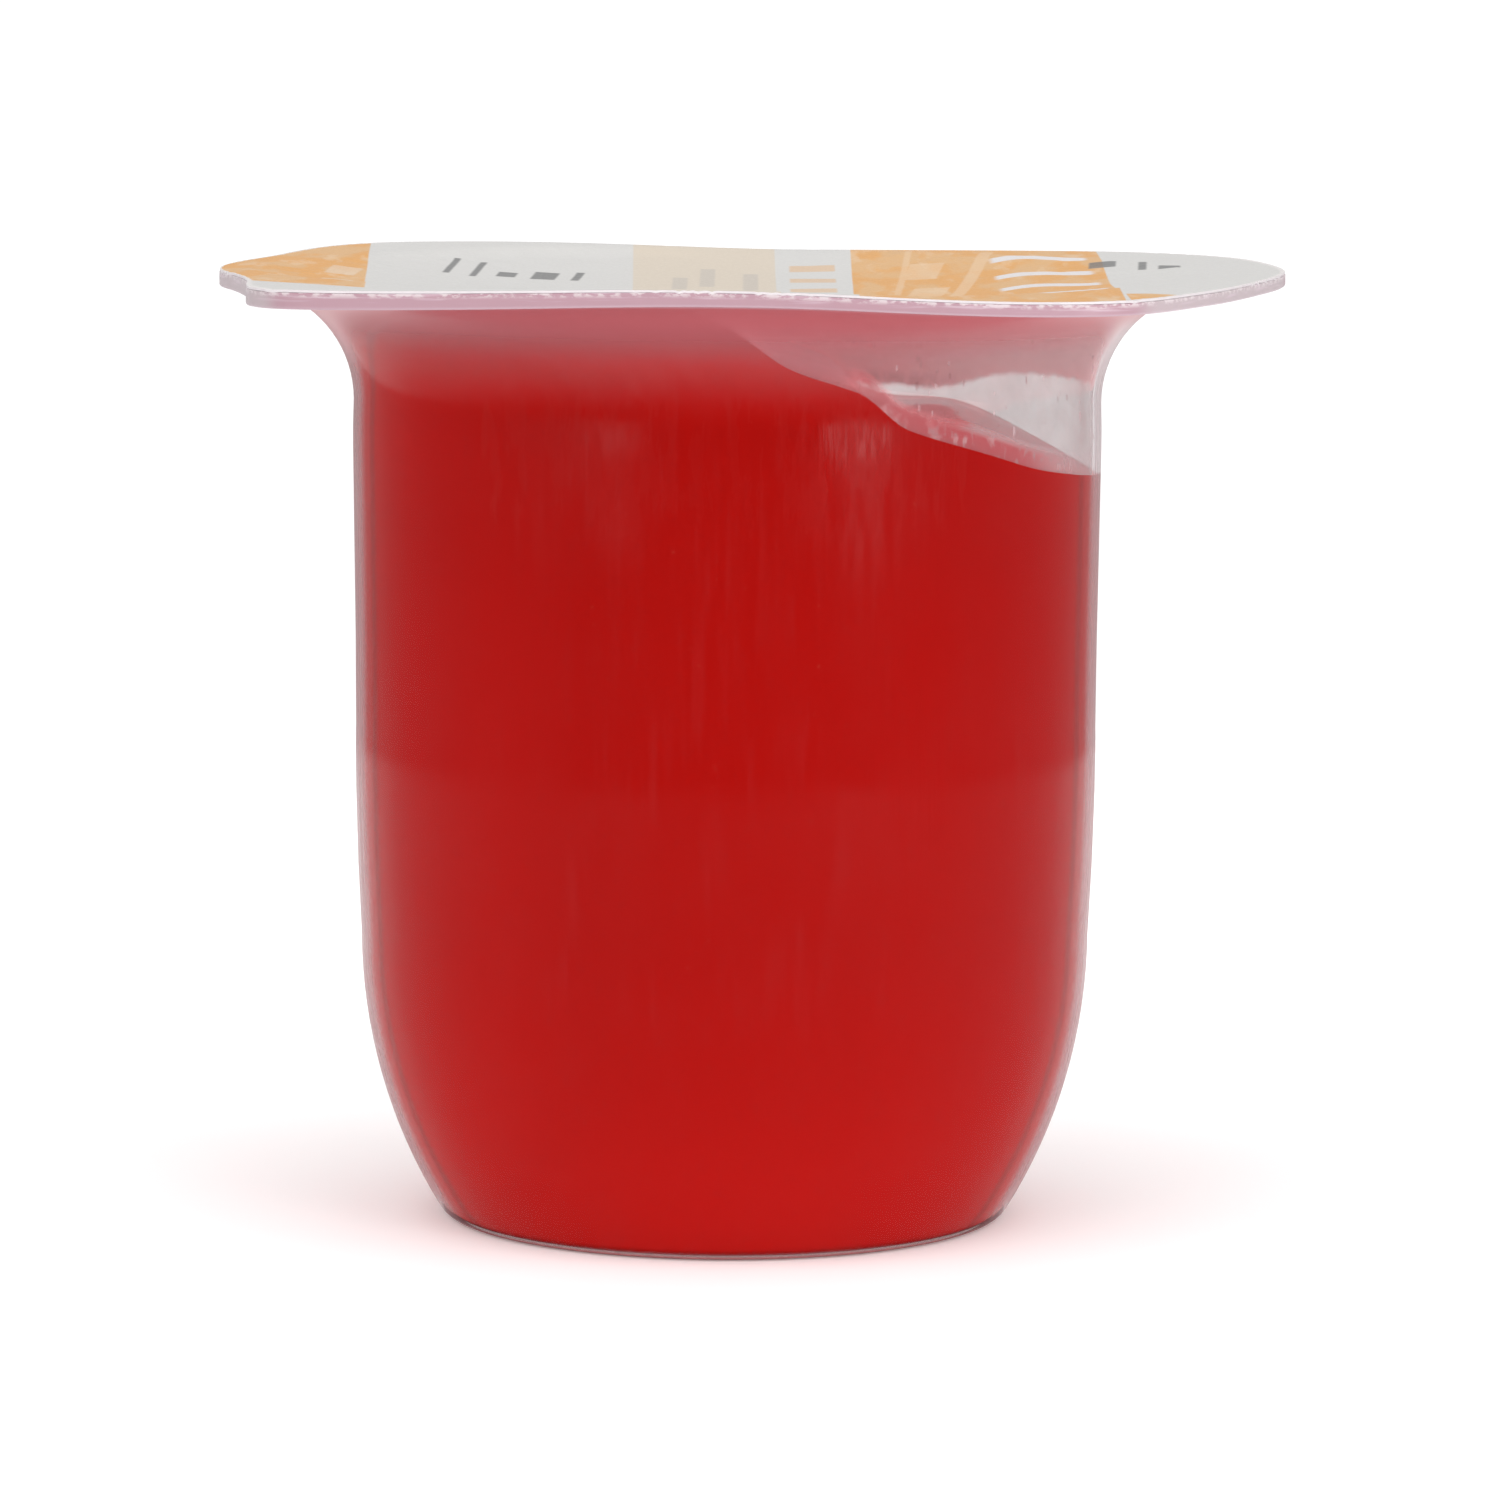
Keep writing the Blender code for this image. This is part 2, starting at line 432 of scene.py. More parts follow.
def blend_values(tree, share, first, second):
    """Number between two numbers."""
    return add_node(tree, "ShaderNodeMix", {0: share, 2: first, 3: second}).outputs[0]


def attribute(tree, name):
    """Number kept on the mesh under a name."""
    return add_node(tree, "ShaderNodeAttribute", attribute_name=name).outputs["Fac"]


def bumped(tree, height, strength, distance):
    inputs = {"Height": height, "Strength": strength, "Distance": distance}
    return add_node(tree, "ShaderNodeBump", inputs).outputs["Normal"]


def surface(tree, inputs):
    """Principled shader wired to the material's output."""
    shader = add_node(tree, "ShaderNodeBsdfPrincipled", inputs)
    add_node(tree, "ShaderNodeOutputMaterial", {"Surface": shader.outputs["BSDF"]})
    return shader


# Settings that a user would change


class CupSettings(bpy.types.PropertyGroup):
    wall: bpy.props.FloatProperty(
        name="Wall", description="Thickness of the pot's wall", default=0.6 * MM, min=0.2 * MM,
        max=1.2 * MM, subtype="DISTANCE", unit="LENGTH",
    )
    skin: bpy.props.FloatProperty(
        name="Clear skin", description="Depth of the jelly behind the pot's outer face",
        default=0.25 * MM, min=0.1 * MM, max=0.6 * MM, subtype="DISTANCE", unit="LENGTH",
    )
    milk: bpy.props.FloatVectorProperty(
        name="Milky plastic", description="Colour of the pot's faint mist and its flange's ends",
        default=(0.44, 0.36, 0.38), min=0.0, max=1.0, subtype="COLOR",
    )
    flange: bpy.props.FloatVectorProperty(
        name="Flange", description="Colour of the flange's edge", default=(0.40, 0.25, 0.29), min=0.0,
        max=1.0, subtype="COLOR",
    )
    rose: bpy.props.FloatVectorProperty(
        name="Rosy flare", description="Colour of the top of the flare, lit through the jelly",
        default=(0.42, 0.075, 0.09), min=0.0, max=1.0, subtype="COLOR",
    )
    fog: bpy.props.FloatVectorProperty(
        name="Fogged wall", description="Colour of the wall behind the air pocket",
        default=(0.56, 0.62, 0.635), min=0.0, max=1.0, subtype="COLOR",
    )


class JellySettings(bpy.types.PropertyGroup):
    colour: bpy.props.FloatVectorProperty(
        name="Jelly", description="Colour of the jelly", default=(0.286, 0.0020, 0.0011), min=0.0,
        max=1.0, subtype="COLOR",
    )
    meniscus: bpy.props.FloatProperty(
        name="Meniscus", description="How far the jelly climbs the wall", default=0.45 * MM,
        min=0.0, max=1.0 * MM, subtype="DISTANCE", unit="LENGTH",
    )
    drops: bpy.props.IntProperty(
        name="Drops", description="Number of drops on the wall of the air pocket", default=46,
        min=0, max=400,
    )


class LidSettings(bpy.types.PropertyGroup):
    paper: bpy.props.FloatVectorProperty(
        name="Pale print", description="Pale grey ground of the lid", default=(0.54, 0.53, 0.515),
        min=0.0, max=1.0, subtype="COLOR",
    )
    cream: bpy.props.FloatVectorProperty(
        name="Cream print", description="Cream field of the lid", default=(0.56, 0.485, 0.395),
        min=0.0, max=1.0, subtype="COLOR",
    )
    orange: bpy.props.FloatVectorProperty(
        name="Orange print", description="Orange fields of the lid", default=(0.59, 0.335, 0.128),
        min=0.0, max=1.0, subtype="COLOR",
    )
    ink: bpy.props.FloatVectorProperty(
        name="Dark ink", description="Small dark bars on the lid", default=(0.09, 0.09, 0.09),
        min=0.0, max=1.0, subtype="COLOR",
    )


class StageSettings(bpy.types.PropertyGroup):
    floor: bpy.props.FloatVectorProperty(
        name="Floor", description="Colour of the floor", default=(0.93, 0.93, 0.93), min=0.0,
        max=1.0, subtype="COLOR",
    )
    surround: bpy.props.FloatProperty(
        name="Surround", description="Strength of the even light from all round", default=0.6,
        min=0.0, max=2.0,
    )
    key: bpy.props.FloatProperty(
        name="Key", description="Strength of the broad soft light from above", default=1.6, min=0.0,
        max=20.0,
    )
    fill: bpy.props.FloatProperty(
        name="Fill", description="Strength of each of the two soft lights from the sides", default=0.8,
        min=0.0, max=20.0,
    )
    strip_left: bpy.props.FloatProperty(
        name="Left strip", description="Power of the strip light on the left, in watts", default=0.08,
        min=0.0, max=20.0,
    )
    strip_right: bpy.props.FloatProperty(
        name="Right strip", description="Power of the strip light on the right, in watts", default=0.27,
        min=0.0, max=20.0,
    )


# Pot


def milky_wall_material(settings):
    """Outer face of the pot: clear over the body, milky on the flare, the flange and at the edges, with a
    painted highlight streak on the flange's edge.
    """
    material, tree = new_tree("milky_wall")
    place = place_mm(tree)
    parts = split(tree, place)
    height = parts["Z"]
    flat = attribute(tree, "level")
    above = attribute(tree, "above")
    streaks = cloud(tree, place_mm(tree, (2.2, 2.2, 0.12)), 1.0, 3.0, 0.6)
    leaning = any_of(tree, [ramp(tree, height, 60.0, 62.5), ramp(tree, height, 5.0, 2.5)])
    streaks = blend_values(tree, leaning, streaks, 0.5)
    mottle = cloud(tree, place, 0.16, 3.0)
    level = maths(tree, "ADD", height, maths(tree, "MULTIPLY_ADD", mottle, 1.4, -0.7))
    facing = add_node(tree, "ShaderNodeLayerWeight", {"Blend": 0.5}).outputs["Facing"]

    # How much of each layer is seen: clear plastic looks milky where it is seen edge on
    mist = maths(tree, "MULTIPLY_ADD", facing, 0.02, ramp(tree, level, 59.6, 63.9, 0.0, 0.10))
    mist = maths(tree, "ADD", mist, ramp(tree, streaks, 0.45, 0.8, 0.0, 0.010))
    right = ramp(tree, parts["X"], 8.0, 20.0, 1.0, 1.13)
    rosy = times(tree, ramp(tree, height, 62.6, 66.4, 0.0, 0.80), right)
    clear_foot = ramp(tree, height, 0.2, 3.0, 0.1, 1.0)
    brink = times(tree, ramp(tree, facing, 0.74, 0.87, 0.0, 0.88), clear_foot)
    foot = ramp(tree, height, 0.7, 0.15, 0.0, 0.7)
    flange = ramp(tree, flat, 66.85, 67.05)
    veil = maths(tree, "ADD", mist, rosy)
    edge = any_of(tree, [brink, foot])
    share = maths(tree, "ADD", veil, times(tree, edge, maths(tree, "SUBTRACT", 1.0, veil)))
    share = any_of(tree, [share, times(tree, flange, 0.95)])
    # Painted shade: a thin dark line just inside the wall's edge where the jelly lies behind it, laid in
    # as black under the colour.
    line = times(tree, ramp(tree, facing, 0.655, 0.682), ramp(tree, facing, 0.717, 0.691))
    line = times(tree, line, ramp(tree, above, 0.1, -0.1, 0.0, 0.22))
    whole = maths(tree, "ADD", share, times(tree, line, maths(tree, "SUBTRACT", 1.0, share)))

    lower = blend_colours(tree, maths(tree, "DIVIDE", rosy, veil), settings.milk, settings.rose)
    brink_colour = blend_colours(tree, ramp(tree, height, 60.5, 64.5),
                                 (0.32, 0.12, 0.125), (0.45, 0.17, 0.19))
    emptied = times(tree, ramp(tree, parts["X"], 10.0, 19.0), ramp(tree, above, 0.0, 0.3))
    emptied = times(tree, emptied, ramp(tree, height, 66.2, 63.8))
    brink_colour = blend_colours(tree, emptied, brink_colour, (0.53, 0.45, 0.46))
    lower = blend_colours(tree, brink, lower, brink_colour)
    lower = blend_colours(tree, foot, lower, (0.44, 0.016, 0.014))

    # Painted highlight: a pale streak along the flange's edge, broken by noise. The edge is also paler at
    # its lower lip.
    along_edge = cloud(tree, place_mm(tree, (0.22, 0.22, 5.0)), 1.0, 2.0)
    painted_highlight_streak = times(tree, ramp(tree, along_edge, 0.52, 0.66), ramp(tree, flat, 67.3, 67.5), 0.5)
    lip = ramp(tree, flat, 67.25, 67.08, 0.0, 0.35)
    crumbs = ramp(tree, cloud(tree, place_mm(tree, (1.5, 1.5, 3.0)), 1.0, 3.0, 0.65), 0.44, 0.60)
    crumbs = times(tree, crumbs, ramp(tree, flat, 67.45, 67.85), 0.8)
    ends = any_of(tree, [ramp(tree, parts["X"], 26.8, 29.0), ramp(tree, parts["X"], -29.5, -31.0)])
    ends = times(tree, ends, ramp(tree, parts["Y"], 6.0, -2.0))
    band = blend_colours(tree, ends, settings.flange, settings.milk)
    band = blend_colours(tree, any_of(tree, [painted_highlight_streak, lip]), band, (0.58, 0.46, 0.52))
    band = blend_colours(tree, crumbs, band, (0.64, 0.57, 0.58))
    colour = blend_colours(tree, flange, lower, band)
    gloss = ramp(tree, streaks, 0.3, 0.7, 0.22, 0.36)
    surface(tree, {
        "Base Color": blend_colours(tree, maths(tree, "DIVIDE", share, whole), (0.0, 0.0, 0.0), colour),
        "Alpha": whole,
        "Roughness": maths(tree, "ADD", gloss, ramp(tree, height, 2.5, 0.8, 0.0, 0.4)),
        "Specular IOR Level": 0.14,
        "IOR": 1.5,
        "Normal": bumped(tree, streaks, 0.06, 0.00008),
    })
    return material


def fogged_wall_material(settings):
    """Inner face of the pot, seen only in the air pocket: clear in front, fogged at the back, where it
    carries a painted glow, a painted highlight line and a painted reflection of the jelly.
    """
    material, tree = new_tree("fogged_wall")
    place = place_mm(tree)
    parts = split(tree, place)
    height = parts["Z"]
    back = ramp(tree, parts["Y"], -11.0, 5.0)
    fog = cloud(tree, place, 0.5, 4.0, 0.6)
    beads = cloud(tree, place_mm(tree, (1.0, 1.0, 0.6)), 1.7, 2.0)
    rightwards = ramp(tree, parts["X"], 6.0, 26.0)
    above = attribute(tree, "above")
    wet = times(tree, ramp(tree, above, 2.1, 1.0), ramp(tree, parts["X"], 7.0, 10.5))
    wet = times(tree, wet, ramp(tree, parts["X"], 26.5, 20.0, 0.35, 1.0))
    wet = times(tree, wet, ramp(tree, beads, 0.25, 0.5, 0.7, 1.0), maths(tree, "SUBTRACT", 1.0, back))
    front_share = any_of(tree, [ramp(tree, fog, 0.3, 0.7, 0.05, 0.11), times(tree, wet, 0.80)])
    level = maths(tree, "ADD", height, maths(tree, "MULTIPLY_ADD", fog, 0.8, -0.4))
    level = maths(tree, "SUBTRACT", level, ramp(tree, parts["X"], 15.5, 21.5, 0.0, 1.5))
    tinted = ramp(tree, level, 58.2, 58.75)
    turned = ramp(tree, parts["X"], 24.0, 26.6)
    clear_share = maths(tree, "MULTIPLY_ADD", turned, 0.14, ramp(tree, fog, 0.3, 0.7, 0.52, 0.60))
    tinted_share = blend_values(tree, rightwards, 0.93, 0.83)
    back_share = blend_values(tree, tinted, clear_share, tinted_share)
    share = blend_values(tree, back, front_share, back_share)

    # Painted reflection: the pink tints from about the start of the flare upwards stand in for the red
    # jelly reflected in the wall; they are lighter towards +X.
    pink = blend_colours(tree, rightwards, (0.90, 0.24, 0.26), (0.95, 0.50, 0.52))
    high_pink = blend_colours(tree, rightwards, (0.95, 0.13, 0.17), (0.97, 0.42, 0.45))
    plain = blend_colours(tree, turned, settings.fog, (0.52, 0.45, 0.46))
    colour = blend_colours(tree, tinted, plain, pink)
    colour = blend_colours(tree, ramp(tree, level, 60.2, 63.4), colour, high_pink)
    # A darker, redder band at heights of about 58 to 60 mm, fading out towards +X, broken by noise.
    dark_band = times(tree, ramp(tree, height, 58.2, 58.6), ramp(tree, height, 59.9, 58.9))
    dark_band = times(tree, dark_band, ramp(tree, parts["X"], 20.0, 13.0))
    dark_band = times(tree, dark_band, ramp(tree, beads, 0.3, 0.6, 0.3, 0.8))
    colour = blend_colours(tree, dark_band, colour, (0.62, 0.20, 0.22))
    # Painted highlight: a pale line that slopes down towards +X, just above the jelly's contact at the
    # back, stands in for the meniscus catching the light.
    line = maths(tree, "MULTIPLY_ADD", parts["X"], -0.075, 58.75)
    away = maths(tree, "ABSOLUTE", maths(tree, "SUBTRACT", height, line))
    highlight_line_end = ramp(tree, parts["X"], 20.0, 17.0)
    painted_highlight_line = times(tree, ramp(tree, away, 0.28, 0.14, 0.0, 0.9), highlight_line_end)
    colour = blend_colours(tree, painted_highlight_line, colour, (0.95, 0.90, 0.91))
    colour = blend_colours(tree, wet, colour, (0.38, 0.05, 0.06))
    # Painted glow: the tinted back wall gives off a faint light of its own, standing in for light that
    # comes through the wall.
    painted_glow = times(tree, tinted, back, maths(tree, "SUBTRACT", 1.0, dark_band))
    surface(tree, {
        "Base Color": colour,
        "Alpha": share,
        "Roughness": 0.35,
        "IOR": 1.45,
        "Emission Color": blend_colours(tree, painted_glow, (0.0, 0.0, 0.0), (0.035, 0.020, 0.022)),
        "Emission Strength": 1.0,
        "Normal": bumped(tree, beads, 0.25, 0.0001),
    })
    return material


class OBJECT_OT_jelly_cup_pot(bpy.types.Operator):
    """Turn the thin-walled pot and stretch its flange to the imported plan"""

    bl_idname = "object.jelly_cup_pot"
    bl_label = "Add Pot"

    def execute(self, context):
        settings, fill = context.scene.jelly_cup, context.scene.jelly_fill
        bm = bmesh.new()
        level_layer = bm.verts.layers.float.new("level")
        above_layer = bm.verts.layers.float.new("above")
        outer = draw_side(bm, 0.0, 0.0, PUSH_UP)
        outer = draw_arc(bm, outer, (FLARE_CENTRE, FLARE_START), -90.0, 20)
        outer = draw_to(bm, outer, FLARE_CENTRE + 0.5 * MM, FLANGE_UNDER, 2)
        ring = FLARE_CENTRE + 1.0 * MM
        outer = draw_to(bm, outer, ring - FLANGE_ROUND, FLANGE_UNDER, 3)
        outer = draw_arc(bm, outer, (ring - FLANGE_ROUND, FLANGE_UNDER + FLANGE_ROUND), 90.0, 4)
        outer = draw_to(bm, outer, ring, FLANGE_FACE - FLANGE_ROUND, 2)
        outer = draw_arc(bm, outer, (ring - FLANGE_ROUND, FLANGE_FACE - FLANGE_ROUND), 90.0, 4)
        outer = draw_to(bm, outer, FLARE_CENTRE + 0.1 * MM, FLANGE_FACE, 3)
        inner = draw_side(bm, settings.wall, INNER_FLOOR)
        inner = draw_arc(bm, inner, (FLARE_CENTRE, FLARE_START), -90.0, 20)
        bm.edges.new((inner, outer))
        turn_about_axis(bm, POT_STEPS)
        for face in bm.faces:
            middle = face.calc_center_median()
            radius = math.hypot(middle.x, middle.y)
            wall_middle = side_radius(middle.z, settings.wall / 2.0)
            inside = radius < wall_middle if middle.z > LOWER_TOP else face.normal.z > 0.0
            face.material_index = 1 if inside and middle.z < FLANGE_TOP else 0
        contacts = {}
        for vertex in bm.verts:
            radius = math.hypot(vertex.co.x, vertex.co.y)
            angle = direction(vertex)
            key = round(angle * 100.0)
            if key not in contacts:
                contacts[key] = contact_height(angle, settings.skin, fill.meniscus)
            vertex[level_layer] = vertex.co.z / MM
            vertex[above_layer] = (vertex.co.z - contacts[key]) / MM
            if radius > FLARE_CENTRE + 0.01 * MM:
                width = edge_radius(angle) - FLANGE_INSET - FLARE_CENTRE
                past = radius - FLARE_CENTRE
                round_start = 1.0 * MM - FLANGE_ROUND
                if past > round_start:
                    stretched = FLARE_CENTRE + width - (1.0 * MM - past)
                else:
                    stretched = FLARE_CENTRE + past / round_start * (width - FLANGE_ROUND)
                vertex.co.x *= stretched / radius
                vertex.co.y *= stretched / radius
            if vertex[level_layer] * MM > FLANGE_UNDER + 0.3 * MM and radius > SAG_RADIUS:
                vertex.co.z += edge_rise(radius, angle)
            vertex.co.z += flange_lift(radius, angle)
        materials = [milky_wall_material(settings), fogged_wall_material(settings)]
        make_piece("pot", bm, materials, "cup")
        return {"FINISHED"}


# Jelly


def jelly_side_material(settings):
    """Jelly against the wall: deep clear red, with painted light that makes it lighter low down, high up
    and at the left.
    """
    material, tree = new_tree("jelly_side")
    place = place_mm(tree)
    parts = split(tree, place)
    height = parts["Z"]
    aside = maths(tree, "ABSOLUTE", parts["X"])
    streaks = cloud(tree, place_mm(tree, (2.6, 2.6, 0.10)), 1.0, 3.0, 0.6)
    leaning = any_of(tree, [ramp(tree, height, 60.0, 62.5), ramp(tree, height, 5.0, 2.5)])
    streaks = blend_values(tree, leaning, streaks, 0.5)
    mottle = cloud(tree, place, 0.09, 3.0)
    patches = cloud(tree, place_mm(tree, (0.9, 0.9, 0.16)), 1.0, 3.0, 0.65)
    dust = cloud(tree, place, 2.6, 1.0)

    # Painted light: a lighter copy of the jelly colour is blended in where light would fall, low down from
    # the floor, high up and at the sides under the flange, on the flare, and more at the left than at the
    # right.
    light = tuple(min(part * 1.80 + 0.001, 1.0) for part in settings.colour)
    low = ramp(tree, height, 24.0, 4.0)
    outward = any_of(tree, [
        ramp(tree, aside, 11.0, 24.5, 0.25, 1.0),
        ramp(tree, height, 61.5, 65.7, 0.25, 1.0),
    ])
    high = times(tree, ramp(tree, height, 49.0, 60.0), outward)
    lit = times(tree, any_of(tree, [low, high]), 0.23)
    under, over = ramp(tree, height, 14.0, 1.0, 0.0, 0.15), ramp(tree, height, 61.2, 63.8, 0.0, 0.17)
    curved = any_of(tree, [under, over])
    curved = times(tree, curved, ramp(tree, parts["X"], 5.0, 18.0, 1.0, 0.2))
    left = ramp(tree, parts["X"], -8.5, -18.0, 0.0, 0.17)
    lit = maths(tree, "ADD", lit, any_of(tree, [left, curved]))
    lit = maths(tree, "ADD", lit, ramp(tree, parts["X"], 8.5, 13.5, 0.0, 0.034))
    middle = maths(tree, "MINIMUM", ramp(tree, aside, 12.5, 22.5, 0.20, 0.05),
                   ramp(tree, height, 62.2, 65.2, 0.20, 0.05))
    lit = maths(tree, "ADD", lit, times(tree, ramp(tree, height, 57.5, 61.5), middle))
    colour = blend_colours(tree, lit, settings.colour, light)
    speck = ramp(tree, dust, 0.74, 0.80, 0.0, 0.25)
    colour = blend_colours(tree, speck, colour, (0.50, 0.08, 0.06))

    facing = add_node(tree, "ShaderNodeLayerWeight", {"Blend": 0.5}).outputs["Facing"]
    near = times(tree, ramp(tree, height, 46.0, 54.0), ramp(tree, facing, 0.34, 0.20))
    rubbed = maths(tree, "MULTIPLY_ADD", ramp(tree, patches, 0.40, 0.60, 0.04, 0.22), near, 0.10)
    surface(tree, {
        "Base Color": colour,
        "Roughness": maths(tree, "ADD", ramp(tree, mottle, 0.3, 0.7, 0.0, 0.04), rubbed),
        "Specular IOR Level": 0.052,
        "IOR": 1.5,
        "Normal": bumped(tree, streaks, 0.10, 0.00012),
    })
    return material


def jelly_top_material(settings):
    """Free surface of the jelly, wet and uneven, with painted light: a far lighter red than the jelly's
    side and a faint glow of its own.
    """
    material, tree = new_tree("jelly_top")
    place = place_mm(tree)
    lumps = cloud(tree, place, 0.35, 4.0, 0.55)
    surface(tree, {
        # Painted light: a far lighter red than the jelly on the side, standing in for light in the air
        # pocket.
        "Base Color": blend_colours(tree, lumps, (0.92, 0.015, 0.012), (1.0, 0.04, 0.03)),
        "Roughness": ramp(tree, lumps, 0.3, 0.7, 0.02, 0.05),
        "Specular IOR Level": 0.5,
        "IOR": 1.25,
        # Painted glow: the free surface gives off a faint light of its own.
        "Emission Color": (0.10, 0.065, 0.070, 1.0),
        "Emission Strength": 1.0,
        "Normal": bumped(tree, lumps, 0.1, 0.00005),
    })
    return material


def free_surface(x, y, meniscus):
    """Height of the jelly's surface, held down by the film above it."""
    radius = math.hypot(x, y)
    shift = BACK_SHIFT * smooth_step(y, -26.0 * MM, 26.0 * MM)
    height = between(SURFACE, x + shift * (1.0 - smooth_step(x, 11.0 * MM, 17.0 * MM)))
    swell = smooth_step(x, 9.5 * MM, 19.0 * MM) * (1.0 - smooth_step(x, 19.0 * MM, 28.5 * MM))
    height += BACK_LIFT * swell * smooth_step(y, -15.0 * MM, 15.0 * MM)
    away = max(side_radius(height, 0.0) - radius, 0.0)
    height += meniscus * (1.0 - 0.95 * smooth_step(y, -8.0 * MM, 8.0 * MM)) * math.exp(-away / (0.7 * MM))
    height += 0.030 * MM * noise.noise(Vector((x, y * 0.6, 0.0)) / (3.4 * MM))
    height += 0.006 * MM * noise.noise(Vector((x, y, 5.0 * MM)) / (0.9 * MM))
    return min(height, FILM_UNDER - film_drop(radius) - JELLY_CLEAR)


def contact_height(angle, skin, meniscus):
    """Height at which the free surface meets the wall in one direction."""
    height = JELLY_FIXED
    cosine, sine = math.cos(math.radians(angle)), math.sin(math.radians(angle))
    for step in (1.0 * MM, 0.2 * MM, 0.02 * MM):
        while height < FLANGE_UNDER:
            radius = side_radius(height, skin)
            if radius > JELLY_RIM or free_surface(radius * cosine, radius * sine, meniscus) < height:
                break
            height += step
        height -= step
    return height


class OBJECT_OT_jelly_cup_fill(bpy.types.Operator):
    """Turn the jelly and lower its top to the free surface of the air pocket"""

    bl_idname = "object.jelly_cup_fill"
    bl_label = "Add Jelly"

    def execute(self, context):
        cup, settings = context.scene.jelly_cup, context.scene.jelly_fill
        flare = FLARE + cup.skin
        rim_angle = math.degrees(math.acos((FLARE_CENTRE - JELLY_RIM) / flare))
        top = FLARE_START + flare * math.sin(math.radians(rim_angle))
        bm = bmesh.new()
        side = draw_side(bm, cup.skin, cup.skin, PUSH_UP)
        side = draw_arc(bm, side, (FLARE_CENTRE, FLARE_START), -rim_angle, SIDE_RINGS)
        draw_to(bm, side, 0.0, top, SURFACE_RINGS)
        turn_about_axis(bm, JELLY_STEPS)
        contacts = {}
        for face in bm.faces:
            face.material_index = 1 if face.calc_center_median().z > top - MERGE else 0
        for vertex in bm.verts:
            radius = math.hypot(vertex.co.x, vertex.co.y)
            angle = direction(vertex)
            if vertex.co.z < JELLY_FIXED:
                continue
            key = round(angle * 100.0)
            if key not in contacts:
                contacts[key] = contact_height(angle, cup.skin, settings.meniscus)
            contact = contacts[key]
            if vertex.co.z > top - MERGE:
                reach = side_radius(contact, cup.skin) * radius / JELLY_RIM
            else:
                share = (vertex.co.z - JELLY_FIXED) / (top - JELLY_FIXED)
                vertex.co.z = JELLY_FIXED + share * (contact - JELLY_FIXED)
                reach = side_radius(vertex.co.z, cup.skin)
            x = reach * math.cos(math.radians(angle))
            y = reach * math.sin(math.radians(angle))
            if vertex.co.z > top - MERGE:
                vertex.co.z = free_surface(x, y, settings.meniscus)
            vertex.co.x, vertex.co.y = x, y
        materials = [jelly_side_material(settings), jelly_top_material(settings)]
        make_piece("jelly_fill", bm, materials, "jelly")
        return {"FINISHED"}


# Film lid


def line_side(tree, parts, place, slope, soft=0.07):
    """Share of being on the +X side of the line x = place + slope * y, in millimetres."""
    along = maths(tree, "MULTIPLY_ADD", parts["Y"], -slope, parts["X"])
    return ramp(tree, along, place - soft, place + soft)


def bar(tree, parts, x, y, width, depth, lean=0.0, soft=0.12):
    """Share of being inside a plain bar, in millimetres."""
    across = maths(tree, "MULTIPLY_ADD", parts["Y"], -lean, parts["X"])
    across = maths(tree, "ABSOLUTE", maths(tree, "SUBTRACT", across, x - lean * y))
    along = maths(tree, "ABSOLUTE", maths(tree, "SUBTRACT", parts["Y"], y))
    inside = ramp(tree, across, width / 2.0 + soft, width / 2.0 - soft)
    return maths(tree, "MULTIPLY", inside, ramp(tree, along, depth / 2.0 + soft, depth / 2.0 - soft))


def wave(tree, parts, left, right, y, swing, length, width, soft=0.2):
    """Share of being inside a wavy stripe that runs along X, in millimetres."""
    turn = maths(tree, "MULTIPLY", maths(tree, "SUBTRACT", parts["X"], left), math.tau / length)
    line = maths(tree, "MULTIPLY_ADD", maths(tree, "SINE", turn), swing, y)
    away = maths(tree, "ABSOLUTE", maths(tree, "SUBTRACT", parts["Y"], line))
    inside = ramp(tree, away, width / 2.0 + soft, width / 2.0 - soft)
    start = ramp(tree, parts["X"], left - 0.3, left + 0.3)
    stop = ramp(tree, parts["X"], right + 0.3, right - 0.3)
    return maths(tree, "MULTIPLY", inside, maths(tree, "MULTIPLY", start, stop))


